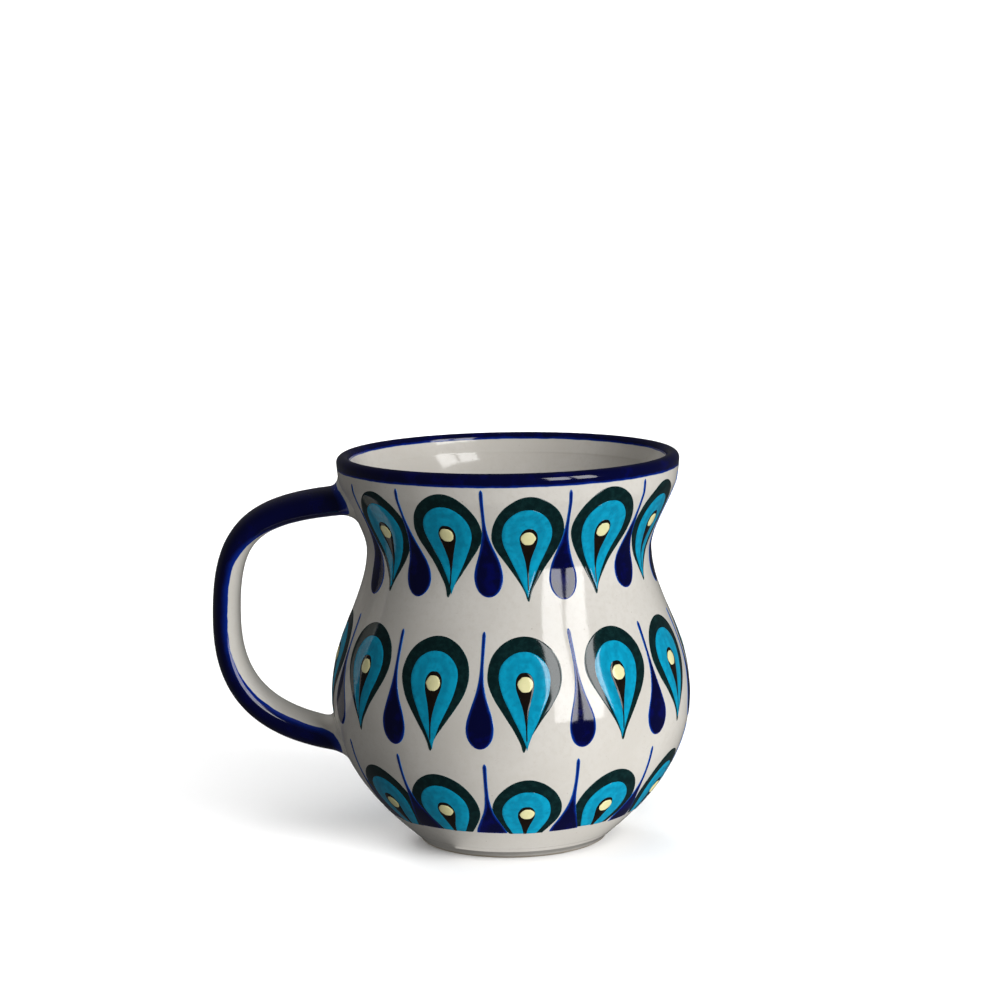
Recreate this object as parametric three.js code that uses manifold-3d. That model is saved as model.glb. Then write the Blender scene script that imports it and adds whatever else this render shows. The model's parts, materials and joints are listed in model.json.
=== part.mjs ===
// A pot-bellied stoneware mug with a rolled lip, a turned foot and a pulled strap handle.
// Millimetres, +Z up. The mug stands on z = 0 with its handle towards -X, and the
// origin is the middle of its footprint, so the cup's own axis lies a little towards +X.

import * as THREE from 'three';
import { mergeVertices } from 'three/addons/utils/BufferGeometryUtils.js';
import Module from 'manifold-3d';

const wasm = await Module();
wasm.setup();

// Cup, outside
const cupHeight = 101;
const lipRadius = 44.2;
const waistRadius = 36.8;
const neckLength = 24.5;
const bellyRadius = 46.6;
const bellyHeight = 38;
const footRadius = 23.8;

// Cup, inside
const wallThickness = 3.9;
const lipThickness = 3.6;
const beadHeight = 0.4;
const floorTop = 8;
const linerThickness = 0.6;

// Lip and foot, as heights of their seams
const lipHeight = 5;
const footHeight = 3;
const footWidth = 5;
const footRounding = 0.8;

// Handle
const handleStandOff = 30.6;
const upperRootDrop = 11.4;
const lowerRootHeight = 26.2;
const strapWidth = 18;
const strapThickness = 7.4;
const jointLength = 6;
const jointFlare = 2.6;

// How full each bend is, as a share of the stretch that it turns over
const footFullness = { out: 0.42, up: 0.21, below: 0.47 };
const shoulderFullness = { below: 0.41, above: 0.31 };
const mouthFullness = { below: 0.28, above: 0.25 };
const floorFullness = { flat: 0.42, out: 0.78, up: 0.42 };
const upperHandleFullness = { out: 0.8, down: 0.82 };
const lowerHandleFullness = { down: 0.49, in: 0.83 };

// How far the handle's two ends slope down towards the wall
const upperRootSlope = -1.2;
const lowerRootSlope = 2.2;

// The strap's section is a rounded oblong: 1 would be an ellipse, and less is squarer
const sideSquareness = 0.8;
const faceSquareness = 0.9;

// Fits
const clearance = 0.3;

// Smoothness
const turnSteps = 48;
const curveSteps = 9;
const crownSteps = 8;
const strapSteps = 34;
const strapSides = 16;
const jointSteps = 6;

const waistHeight = cupHeight - neckLength;
const lipBottom = cupHeight - lipHeight;
const handleReach = bellyRadius + handleStandOff;
const upperRootHeight = cupHeight - upperRootDrop;
const handleMiddle = (upperRootHeight + lowerRootHeight) / 2;
const cupAxisX = handleStandOff / 2;

const glazeWhite = new THREE.MeshStandardMaterial({ color: 0xd5d3cc, roughness: 0.16, metalness: 0 });
const linerWhite = new THREE.MeshStandardMaterial({ color: 0xe4e3df, roughness: 0.12, metalness: 0 });
const cobaltBlue = new THREE.MeshStandardMaterial({ color: 0x0a1a66, roughness: 0.14, metalness: 0 });
const bareClay = new THREE.MeshStandardMaterial({ color: 0xc9bda6, roughness: 0.8, metalness: 0 });

// ---- outlines of the cup: x is the radius and y the height -------------------------------

function bend(...points) {
  return new THREE.CubicBezierCurve(...points.map(([radius, height]) => new THREE.Vector2(radius, height)));
}

// The outside swells from the foot to the belly, draws in to the waist and opens to the lip.
const footToBelly = bend(
  [footRadius, 0],
  [footRadius + footFullness.out * (bellyRadius - footRadius), footFullness.up * bellyHeight],
  [bellyRadius, bellyHeight - footFullness.below * bellyHeight],
  [bellyRadius, bellyHeight],
);
const neckRise = waistHeight - bellyHeight;
const bellyToWaist = bend(
  [bellyRadius, bellyHeight],
  [bellyRadius, bellyHeight + shoulderFullness.below * neckRise],
  [waistRadius, waistHeight - shoulderFullness.above * neckRise],
  [waistRadius, waistHeight],
);
const mouthRise = lipBottom - waistHeight;
const lipFootRadius = lipRadius - beadHeight / 2;
const waistToLip = bend(
  [waistRadius, waistHeight],
  [waistRadius, waistHeight + mouthFullness.below * mouthRise],
  [lipFootRadius - beadHeight, lipBottom - mouthFullness.above * mouthRise],
  [lipFootRadius, lipBottom],
);

// Points of a curve, moved sideways by an offset: positive is outwards, negative inwards.
function offsetPoints(curve, offset) {
  const points = [];
  for (let step = 0; step <= curveSteps; step += 1) {
    const t = step / curveSteps;
    const tangent = curve.getTangent(t);
    const normal = new THREE.Vector2(tangent.y, -tangent.x);
    points.push(curve.getPoint(t).addScaledVector(normal, offset));
  }
  return points;
}

// The same points, from the foot upwards, each place once.
function outsideOutline(offset) {
  return [
    ...offsetPoints(footToBelly, offset),
    ...offsetPoints(bellyToWaist, offset).slice(1),
    ...offsetPoints(waistToLip, offset).slice(1),
  ];
}

// The inside, from the axis outwards over the floor and up the wall. An inset moves it inwards.
function insideOutline(inset) {
  const radius = bellyRadius - wallThickness - inset;
  const floor = floorTop + inset;
  const floorToBelly = bend(
    [floorFullness.flat * radius, floor],
    [floorFullness.out * radius, floor],
    [radius, floor + floorFullness.up * (bellyHeight - floor)],
    [radius, bellyHeight],
  );
  return [
    new THREE.Vector2(0, floor),
    ...offsetPoints(floorToBelly, 0),
    ...offsetPoints(bellyToWaist, -wallThickness - inset).slice(1),
    ...offsetPoints(waistToLip, -wallThickness - inset).slice(1),
  ];
}

// The part of an upward outline between two heights, with a point exactly at each.
function between(outline, low, high) {
  const kept = [];
  outline.forEach((point, index) => {
    const before = outline[index - 1];
    for (const height of [low, high]) {
      if (before && before.y < height && point.y > height) {
        kept.push(before.clone().lerp(point, (height - before.y) / (point.y - before.y)));
      }
    }
    if (point.y >= low && point.y <= high) kept.push(point);
  });
  return kept;
}

// Turns an outline about the cup's axis.
function turned(outline) {
  return new THREE.LatheGeometry(outline, turnSteps).rotateX(Math.PI / 2);
}

// ---- the handle's line, in the plane y = 0 -------------------------------------------------

// The outside's radius at a height.
function wallRadius(height) {
  return between(outsideOutline(0), height, cupHeight)[0].x;
}

function linePoint(reach, height) {
  return new THREE.Vector3(-reach, 0, height);
}

// The line starts well inside the wall, so that each joint is cut to the wall's own slope.
const rootDepth = 9;
const handleTop = handleReach - strapThickness / 2;
const upperRoot = wallRadius(upperRootHeight) - rootDepth;
const lowerRoot = wallRadius(lowerRootHeight) - rootDepth;
const handleLine = new THREE.CurvePath();
handleLine.add(new THREE.CubicBezierCurve3(
  linePoint(upperRoot, upperRootHeight),
  linePoint(upperRoot + upperHandleFullness.out * (handleTop - upperRoot), upperRootHeight + upperRootSlope),
  linePoint(handleTop, handleMiddle + upperHandleFullness.down * (upperRootHeight - handleMiddle)),
  linePoint(handleTop, handleMiddle),
));
handleLine.add(new THREE.CubicBezierCurve3(
  linePoint(handleTop, handleMiddle),
  linePoint(handleTop, handleMiddle - lowerHandleFullness.down * (handleMiddle - lowerRootHeight)),
  linePoint(lowerRoot + lowerHandleFullness.in * (handleTop - lowerRoot), lowerRootHeight + lowerRootSlope),
  linePoint(lowerRoot, lowerRootHeight),
));
const lineLength = handleLine.getLength();

// A rounded strap section swept along the handle's line from one length to another, with flat
// ends. The growth is how much the section gains all round at a length.
function strap(start, end, steps, growth) {
  const rings = [];
  for (let step = 0; step <= steps; step += 1) {
    const length = start + (end - start) * (step / steps);
    const centre = handleLine.getPointAt(length / lineLength);
    const along = handleLine.getTangentAt(length / lineLength);
    const outwards = new THREE.Vector3(along.z, 0, -along.x);
    const halfThickness = strapThickness / 2 + growth(length);
    const halfWidth = strapWidth / 2 + growth(length);
    const ring = [];
    for (let side = 0; side < strapSides; side += 1) {
      const angle = (side / strapSides) * 2 * Math.PI;
      const across = Math.sign(Math.cos(angle)) * Math.abs(Math.cos(angle)) ** sideSquareness;
      const up = Math.sign(Math.sin(angle)) * Math.abs(Math.sin(angle)) ** faceSquareness;
      const point = centre.clone().addScaledVector(outwards, halfThickness * up);
      ring.push(point.setY(halfWidth * across));
    }
    rings.push({ centre, ring });
  }
  const triangles = [];
  for (let side = 0; side < strapSides; side += 1) {
    const next = (side + 1) % strapSides;
    for (let step = 0; step < steps; step += 1) {
      const [near, far] = [rings[step].ring, rings[step + 1].ring];
      triangles.push(near[side], far[side], near[next]);
      triangles.push(near[next], far[side], far[next]);
    }
    triangles.push(rings[0].centre, rings[0].ring[side], rings[0].ring[next]);
    triangles.push(rings[steps].centre, rings[steps].ring[next], rings[steps].ring[side]);
  }
  return new THREE.BufferGeometry().setFromPoints(triangles);
}

// ---- solids: joining and cutting closed meshes ---------------------------------------------

function toSolid(geometry) {
  const bare = geometry.index ? geometry.toNonIndexed() : geometry.clone();
  bare.deleteAttribute('normal');
  bare.deleteAttribute('uv');
  const merged = mergeVertices(bare, 1e-4);
  const corners = merged.index.array;
  const kept = [];
  for (let at = 0; at < corners.length; at += 3) {
    const [a, b, c] = corners.slice(at, at + 3);
    if (a !== b && b !== c && c !== a) kept.push(a, b, c);
  }
  return new wasm.Manifold(new wasm.Mesh({
    numProp: 3,
    vertProperties: merged.attributes.position.array,
    triVerts: new Uint32Array(kept),
  }));
}

function toGeometry(solid) {
  const { vertProperties, triVerts } = solid.getMesh();
  const geometry = new THREE.BufferGeometry();
  geometry.setAttribute('position', new THREE.BufferAttribute(vertProperties, 3));
  geometry.setIndex(new THREE.BufferAttribute(triVerts, 1));
  return geometry;
}

// ---- the pieces ------------------------------------------------------------------------------

function cupBody() {
  const bottom = footHeight + clearance;
  return turned([
    new THREE.Vector2(0, bottom),
    ...between(outsideOutline(0), bottom, lipBottom),
    ...between(insideOutline(0), floorTop, lipBottom).reverse(),
  ]);
}

function linerGlaze() {
  const against = between(insideOutline(clearance), floorTop, lipBottom);
  const open = between(insideOutline(clearance + linerThickness), floorTop, lipBottom);
  return turned([...against, ...open.reverse()]);
}

// A bead a little proud of the wall and round on top, whose inside runs on into the liner's.
function lipBand() {
  const bottom = lipBottom + clearance;
  const inner = insideOutline(clearance + linerThickness).pop().x;
  const shoulder = cupHeight - lipThickness / 2;
  const crown = new THREE.EllipseCurve(
    lipRadius - lipThickness / 2, shoulder, lipThickness / 2, lipThickness / 2, 0, Math.PI,
  );
  return turned([
    new THREE.Vector2(inner, bottom),
    new THREE.Vector2(lipFootRadius, bottom),
    ...crown.getPoints(crownSteps),
    new THREE.Vector2(inner, bottom),
  ]);
}

function footRing() {
  const inner = footRadius - footWidth;
  const outside = between(outsideOutline(0), footRounding, footHeight);
  return turned([
    new THREE.Vector2(inner + footRounding, 0),
    new THREE.Vector2(footRadius - footRounding, 0),
    ...outside,
    new THREE.Vector2(inner, footHeight),
    new THREE.Vector2(inner, footRounding),
    new THREE.Vector2(inner + footRounding, 0),
  ]);
}

// The joints reach from the wall to where the plain strap begins, and swell towards the wall.
const upperJointEnd = rootDepth + jointLength;
const lowerJointStart = lineLength - rootDepth - jointLength;

const roomUnderLip = upperRootDrop - lipHeight - strapThickness / 2 - clearance;

function flare(distance) {
  return Math.min(jointFlare, roomUnderLip) * Math.min(1, distance / jointLength) ** 2;
}

// The cup and all that it holds, grown by the clearance, which the joints are cut to.
function cupWithClearance() {
  const outline = outsideOutline(clearance);
  return toSolid(turned([
    new THREE.Vector2(0, outline[0].y),
    ...outline,
    new THREE.Vector2(lipRadius + clearance, lipBottom + clearance),
    new THREE.Vector2(lipRadius + clearance, cupHeight),
    new THREE.Vector2(0, cupHeight),
  ]));
}

function handleStrap() {
  return strap(upperJointEnd, lowerJointStart, strapSteps, () => 0);
}

function upperJoint() {
  const end = upperJointEnd - clearance;
  const piece = strap(0, end, jointSteps, (length) => flare(upperJointEnd - length));
  return toGeometry(toSolid(piece).subtract(cupWithClearance()));
}

function lowerJoint() {
  const start = lowerJointStart + clearance;
  const piece = strap(start, lineLength, jointSteps, (length) => flare(length - lowerJointStart));
  return toGeometry(toSolid(piece).subtract(cupWithClearance()));
}

// ---- the mug -----------------------------------------------------------------------------------

const mug = new THREE.Group();
mug.position.x = cupAxisX;

function place(name, geometry, material) {
  const mesh = new THREE.Mesh(geometry, material);
  mesh.name = name;
  mug.add(mesh);
}

place('cup_body', cupBody(), glazeWhite);
place('liner_glaze', linerGlaze(), linerWhite);
place('lip_band', lipBand(), cobaltBlue);
place('foot_ring', footRing(), bareClay);
place('handle', handleStrap(), cobaltBlue);
place('handle_upper_joint', upperJoint(), glazeWhite);
place('handle_lower_joint', lowerJoint(), glazeWhite);

export default mug;
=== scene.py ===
import json
import math
import random

import bmesh
import bpy
from bpy.props import FloatProperty, FloatVectorProperty, IntProperty, PointerProperty
from mathutils import Matrix, Vector

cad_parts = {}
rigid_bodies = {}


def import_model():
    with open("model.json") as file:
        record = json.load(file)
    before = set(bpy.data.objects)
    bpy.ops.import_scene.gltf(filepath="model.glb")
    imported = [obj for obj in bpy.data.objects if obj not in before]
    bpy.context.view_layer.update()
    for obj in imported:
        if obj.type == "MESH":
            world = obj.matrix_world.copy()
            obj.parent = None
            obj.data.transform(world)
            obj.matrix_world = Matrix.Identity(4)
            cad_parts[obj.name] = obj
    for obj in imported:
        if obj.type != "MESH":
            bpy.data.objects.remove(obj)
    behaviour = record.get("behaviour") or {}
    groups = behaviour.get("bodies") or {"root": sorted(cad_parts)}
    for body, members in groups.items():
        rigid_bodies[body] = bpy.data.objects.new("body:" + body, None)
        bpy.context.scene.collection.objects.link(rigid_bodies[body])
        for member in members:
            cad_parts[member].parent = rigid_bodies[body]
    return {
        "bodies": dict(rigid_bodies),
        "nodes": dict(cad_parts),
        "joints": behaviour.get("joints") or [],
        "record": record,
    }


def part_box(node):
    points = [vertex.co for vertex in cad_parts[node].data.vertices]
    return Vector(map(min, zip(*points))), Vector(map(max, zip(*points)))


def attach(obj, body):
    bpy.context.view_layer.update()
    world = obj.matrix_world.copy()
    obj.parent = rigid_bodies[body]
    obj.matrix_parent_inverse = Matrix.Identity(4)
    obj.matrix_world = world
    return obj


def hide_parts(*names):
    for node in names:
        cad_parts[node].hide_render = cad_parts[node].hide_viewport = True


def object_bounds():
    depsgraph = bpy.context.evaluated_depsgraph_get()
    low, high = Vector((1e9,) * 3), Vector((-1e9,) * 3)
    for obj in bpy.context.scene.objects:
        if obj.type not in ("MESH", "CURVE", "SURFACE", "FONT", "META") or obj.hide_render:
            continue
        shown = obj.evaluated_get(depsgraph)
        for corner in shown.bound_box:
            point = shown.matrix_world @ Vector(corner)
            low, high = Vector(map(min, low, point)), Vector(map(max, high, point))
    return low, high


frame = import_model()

bl_info = {
    "name": "Painted stoneware mug",
    "version": (1, 0, 0),
    "blender": (4, 5, 0),
    "location": "3D View > Sidebar > Mug",
    "description": "Builds a hand-painted stoneware mug round its packed frame",
    "category": "Add Mesh",
}

MM = 0.001
CAD_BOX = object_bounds()
BODY_LOW, BODY_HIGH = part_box("cup_body")
LIP_LOW, LIP_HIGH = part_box("lip_band")
FOOT_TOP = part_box("foot_ring")[1][2]
AXIS_X = (LIP_LOW[0] + LIP_HIGH[0]) / 2
HANDLE_REACH = AXIS_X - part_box("handle")[0][0]
FOOT_SEAM = (FOOT_TOP + BODY_LOW[2]) / 2
LIP_SEAM = (BODY_HIGH[2] + LIP_LOW[2]) / 2


# ---- what a user would change ----------------------------------------------------------


def size(name, description, default, low=0.0, high=0.2):
    return FloatProperty(
        name=name, description=description, default=default, min=low, max=high, unit="LENGTH",
    )


def amount(name, description, default, low=0.0, high=1.0):
    return FloatProperty(name=name, description=description, default=default, min=low, max=high)


def integer(name, description, default, low, high):
    return IntProperty(name=name, description=description, default=default, min=low, max=high)


def angle(name, description, degrees):
    return FloatProperty(name=name, description=description, default=math.radians(degrees), unit="ROTATION")


def colour(name, description, red, green, blue):
    return FloatVectorProperty(
        name=name, description=description, default=(red, green, blue),
        size=3, min=0.0, max=1.0, subtype="COLOR",
    )


class ClayProperties(bpy.types.PropertyGroup):
    around: integer("Steps around", "Faces round the turned clay", 256, 48, 512)
    smoothing: integer("Smoothing", "Steps between two rings of the frame", 6, 1, 12)
    wobble: size("Wobble", "How far the thrown wall strays from round", 0.28 * MM)
    wobble_size: size("Wobble size", "How long one swell of the wall is", 38 * MM)
    band_outside: size("Lip band outside", "How far the lip's paint reaches down outside", 4.4 * MM)
    band_inside: size("Lip band inside", "How far the lip's paint reaches down inside", 2.8 * MM)


class HandleProperties(bpy.types.PropertyGroup):
    upper_drop: size("Upper root drop", "How far below the rim the strap's upper end is", 11.4 * MM)
    lower_height: size("Lower root height", "How high the strap's lower end is", 26.2 * MM)
    width: size("Width", "Strap width", 18 * MM)
    thickness: size("Thickness", "Strap thickness", 7.4 * MM)
    fillet: size("Fillet", "Radius of the clay worked round the two roots", 3.4 * MM)
    bare_width: size("White width", "Width of the unpainted inner face", 18.6 * MM)
    bare_top: size("White width above", "Width of the unpainted inner face by the upper root", 11.0 * MM)
    bare_foot: size("White width below", "Width of the unpainted inner face by the lower root", 14.6 * MM)
    bare_root: size("White root", "How far the paint stops from the wall", 0.6 * MM)
    unevenness: size("Unevenness", "How far the pulled strap strays from its line", 0.22 * MM)


class PatternProperties(bpy.types.PropertyGroup):
    count: integer("Count", "Eyes in one turn of a row", 12, 3, 24)
    turn: angle("Turn", "Where the first eye is, from the front", 5.8)
    eye_length: size("Eye length", "Outline of an eye from top to point", 28.2 * MM)
    eye_width: size("Eye width", "Outline of an eye at its widest", 18.1 * MM)
    field_width: size("Field width", "Turquoise of an eye at its widest", 12.8 * MM)
    field_drop: size("Field drop", "How far the turquoise starts below the outline's top", 3.5 * MM)
    pupil_width: size("Pupil width", "Dark inner drop at its widest", 4.8 * MM)
    dot: size("Dot", "Diameter of the cream dot", 3.95 * MM)
    dot_drop: size("Dot drop", "How far the dot's middle is below the outline's top", 11.6 * MM)
    drop_width: size("Drop width", "Cobalt drop at its bulb", 7.3 * MM)
    drop_length: size("Drop length", "Cobalt drop from the top of its tail to its bulb's end", 29.8 * MM)
    upper_row: size("Upper row", "Top of the upper row, along the wall from the foot", 105.5 * MM)
    middle_row: size("Middle row", "Top of the middle row, along the wall from the foot", 68.3 * MM)
    lower_row: size("Lower row", "Top of the lower row, along the wall from the foot", 31.8 * MM)
    wiped: size("Wiped edge", "Where the paint was wiped away, along the wall from the foot", 12.1 * MM)
    relief: size("Relief", "How thick one coat of paint stands", 0.09 * MM)
    hand: amount("Hand", "How far the painter's hand strays", 1.0, 0.0, 3.0)
    root_clear: angle("Clear of the handle", "How near a root the outer rows are left unpainted", 14)
    seed: integer("Seed", "Which painter's hand", 21084, 0, 999999)


class ColourProperties(bpy.types.PropertyGroup):
    white: colour("Outside glaze", "Warm off-white over the clay", 0.645, 0.62, 0.575)
    inside: colour("Inside glaze", "White of the inside", 0.72, 0.705, 0.675)
    clay: colour("Bare clay", "Unglazed foot", 0.52, 0.44, 0.34)
    cobalt: colour("Cobalt", "Thick cobalt", 0.0005, 0.0011, 0.028)
    cobalt_pool: colour("Cobalt pool", "Cobalt where it ran together", 0.0006, 0.0022, 0.13)
    cobalt_edge: colour("Cobalt edge", "Cobalt where it is thin", 0.0008, 0.016, 0.21)
    turquoise: colour("Turquoise", "Field of an eye", 0.002, 0.33, 0.53)
    turquoise_deep: colour("Deep turquoise", "Where the turquoise pools", 0.0012, 0.20, 0.34)
    outline: colour("Outline", "Green-black round an eye", 0.0014, 0.0115, 0.0125)
    pupil: colour("Pupil", "Brown-black inner drop", 0.0055, 0.0035, 0.0025)
    dot: colour("Dot", "Cream dot", 0.80, 0.76, 0.42)


class StageProperties(bpy.types.PropertyGroup):
    floor: colour("Floor", "Pale floor", 0.86, 0.86, 0.86)
    window: amount("Window", "Brightness of the two panes", 27.0, 0.0, 100.0)
    fill: amount("Fill", "Brightness of the room", 0.20, 0.0, 5.0)
    beyond: amount("Beyond", "Brightness of the room past the floor", 0.74, 0.0, 5.0)
    back: amount("Back", "Brightness of the soft light behind", 26.0, 0.0, 100.0)
    gleam: amount("Gleam", "Brightness of the room as the glaze mirrors it", 0.05, 0.0, 5.0)
    top: amount("Top", "Brightness of the soft light overhead", 0.7, 0.0, 100.0)
    bounce: amount("Bounce", "Brightness of the light off the floor by the window", 2.4, 0.0, 100.0)
    wash: amount("Wash", "Brightness of the even light on the floor", 2.2, 0.0, 100.0)
    distance: size("Distance", "From the cup's axis to the camera", 672 * MM, 0.1, 5.0)
    height: size("Height", "Camera above the floor", 186.8 * MM, 0.0, 5.0)
    pitch: angle("Pitch", "How far the camera looks down", 8.33)
    roll: angle("Roll", "How far the camera leans", -0.93)
    lens: amount("Lens", "Focal length in millimetres", 94.6, 10.0, 300.0)


# ---- numbers along the cup's outline ---------------------------------------------------


def outwards(point):
    return Vector((point.x - AXIS_X, point.y, 0)).normalized()


def rings(node, chosen):
    """(radius, height) of every ring of a turned CAD node whose faces are chosen, lowest first."""
    mesh = frame["nodes"][node].data
    found = {}
    for face in mesh.polygons:
        if chosen(face.normal, outwards(face.center), face.center):
            for index in face.vertices:
                corner = mesh.vertices[index].co
                radius = math.hypot(corner.x - AXIS_X, corner.y)
                found[round(radius / MM, 1), round(corner.z / MM, 1)] = (radius, corner.z)
    return sorted(found.values(), key=lambda ring: ring[1])


def apart(points, least=0.25 * MM):
    """The same points without those that nearly repeat the one before."""
    kept = [points[0]]
    for point in points[1:]:
        if math.dist(point, kept[-1]) > least:
            kept.append(point)
    return kept


def smooth(points, steps):
    """A rounded line through all the points."""
    line = []
    for index in range(len(points) - 1):
        before = Vector(points[max(index - 1, 0)])
        start, end = Vector(points[index]), Vector(points[index + 1])
        after = Vector(points[min(index + 2, len(points) - 1)])
        span = (end - start).length
        leave = (end - before) / max((start - before).length + span, 1e-9) * span
        arrive = (after - start) / max((after - end).length + span, 1e-9) * span
        for step in range(steps):
            t = step / steps
            line.append(tuple(
                start * (2 * t ** 3 - 3 * t ** 2 + 1) + leave * (t ** 3 - 2 * t ** 2 + t)
                + end * (3 * t ** 2 - 2 * t ** 3) + arrive * (t ** 3 - t ** 2)
            ))
    return line + [tuple(points[-1])]


def split_at(line, height):
    """The line cut in two where it first passes a height, with that point in both."""
    for index in range(len(line) - 1):
        low, high = line[index][1], line[index + 1][1]
        if (low - height) * (high - height) <= 0 and low != high:
            t = (height - low) / (high - low)
            seam = (line[index][0] + t * (line[index + 1][0] - line[index][0]), height)
            return line[:index + 1] + [seam], [seam] + line[index + 1:]
    raise ValueError(f"the outline doesn't pass {height}")


# How deep a handle's root can go into the wall, which is thicker than this.
ROOT_DEPTH = 2.6 * MM


class Outline:
    """The cup's whole outline, from the foot's edge up the wall, over the lip and down inside."""

    def __init__(self, steps):
        foot = rings("foot_ring", lambda normal, out, centre: normal.dot(out) > 0.3)
        wall = rings("cup_body", lambda normal, out, centre: normal.dot(out) > 0.05)
        inwards, downwards = 2.2 * MM, 3 * MM
        bead_middle = (LIP_HIGH[0] - AXIS_X - inwards, LIP_HIGH[2] - downwards)
        lip = rings("lip_band", lambda normal, out, centre: centre.z > LIP_LOW[2] + 0.1 * MM)
        lip.sort(key=lambda ring: math.atan2(ring[1] - bead_middle[1], ring[0] - bead_middle[0]))
        lip = [ring for ring in lip if ring[1] > LIP_LOW[2] + 0.5 * MM]
        inside = rings("liner_glaze", self.open_side)
        inside.sort(key=lambda ring: (-round(ring[1], 5), -ring[0]))
        whole = smooth(apart(foot[1:-1] + wall[1:-1] + lip + inside[1:]), steps)
        upward = whole[:max(range(len(whole)), key=lambda index: whole[index][1])]
        downward = whole[len(upward):]
        self.foot, above = split_at(upward, FOOT_SEAM)
        self.wall, bead = split_at(above, LIP_SEAM)
        over, self.inside = split_at(downward, LIP_SEAM)
        self.lip = bead + over
        self.upward = upward

    @staticmethod
    def open_side(normal, out, centre):
        faces_axis = normal.dot(out) < -0.05
        faces_up = normal.z > 0.9
        return faces_axis or faces_up

    def radius(self, height):
        for (r0, z0), (r1, z1) in zip(self.upward, self.upward[1:]):
            if z0 <= height <= z1:
                return r0 + (r1 - r0) * (height - z0) / (z1 - z0)
        return self.upward[-1][0] if height > self.upward[-1][1] else self.upward[0][0]

    def slope(self, height):
        step = 0.5 * MM
        return (self.radius(height + step) - self.radius(height - step)) / (2 * step)

    def gap(self, point):
        """How far a point stands off the wall, and below zero inside it."""
        off = math.hypot(point.x - AXIS_X, point.y) - self.radius(point.z)
        return off / math.hypot(1, self.slope(point.z))

    def worked(self, point, direction, fillet_radius):
        """A root's point spread outwards into its fillet, as far off the wall as it was.

        What is inside the wall goes less and less deep, and never through it.
        """
        gap = self.gap(point)
        spread = point + direction * fillet(gap, fillet_radius)
        kept = gap if gap > 0 else ROOT_DEPTH * math.tanh(gap / ROOT_DEPTH)
        for _ in range(3):
            facing = (outwards(spread) - Vector((0, 0, self.slope(spread.z)))).normalized()
            spread = spread + facing * (kept - self.gap(spread))
        return spread


def station(line):
    """Length along a line at each of its points."""
    lengths = [0.0]
    for start, end in zip(line, line[1:]):
        lengths.append(lengths[-1] + math.dist(start, end))
    return lengths


# ---- node trees ------------------------------------------------------------------------


def arithmetic(operation, swapped=False):
    """One of a Value's operators, as the node that does it."""
    def method(self, other):
        pair = (other, self) if swapped else (self, other)
        return self.tree.math(operation, *pair)
    return method


class Value:
    """A socket that sums, differences, products and powers can be written with."""

    def __init__(self, tree, socket):
        self.tree = tree
        self.socket = socket

    def sum(self, operation, *others):
        return self.tree.math(operation, self, *others)

    __add__ = __radd__ = arithmetic("ADD")
    __sub__ = arithmetic("SUBTRACT")
    __rsub__ = arithmetic("SUBTRACT", swapped=True)
    __mul__ = __rmul__ = arithmetic("MULTIPLY")
    __truediv__ = arithmetic("DIVIDE")
    __pow__ = arithmetic("POWER")


class Nodes:
    """Short ways to add and join nodes, for geometry and for materials."""

    def __init__(self, tree):
        self.tree = tree

    def join(self, value, socket):
        if isinstance(value, Value):
            self.tree.links.new(value.socket, socket)
        elif value is not None:
            socket.default_value = value

    def add(self, kind, *values, take=0, settings=None, **named):
        """One output of a new node, whose inputs are given in order or by name."""
        node = self.tree.nodes.new(kind)
        for name, setting in (settings or {}).items():
            setattr(node, name, setting)
        for index, value in enumerate(values):
            self.join(value, node.inputs[index])
        for name, value in named.items():
            self.join(value, node.inputs[name.title()])
        return Value(self, node.outputs[take])

    def outputs(self, value, *names):
        node = value.socket.node
        return [Value(self, node.outputs[name]) for name in names]

    def math(self, operation, *values):
        return self.add("ShaderNodeMath", *values, settings={"operation": operation})

    def clamp(self, value, low=0.0, high=1.0):
        return self.add("ShaderNodeClamp", value, low, high)

    def ramp(self, value, low, high):
        """0 below low and 1 above high, with a soft change between."""
        soft = {"interpolation_type": "SMOOTHSTEP"}
        return self.add("ShaderNodeMapRange", value, low, high, 0.0, 1.0, settings=soft)

    def vector(self, x, y, z):
        return self.add("ShaderNodeCombineXYZ", x, y, z)

    def split(self, vector):
        parts = self.add("ShaderNodeSeparateXYZ", vector)
        return self.outputs(parts, "X", "Y", "Z")


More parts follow.
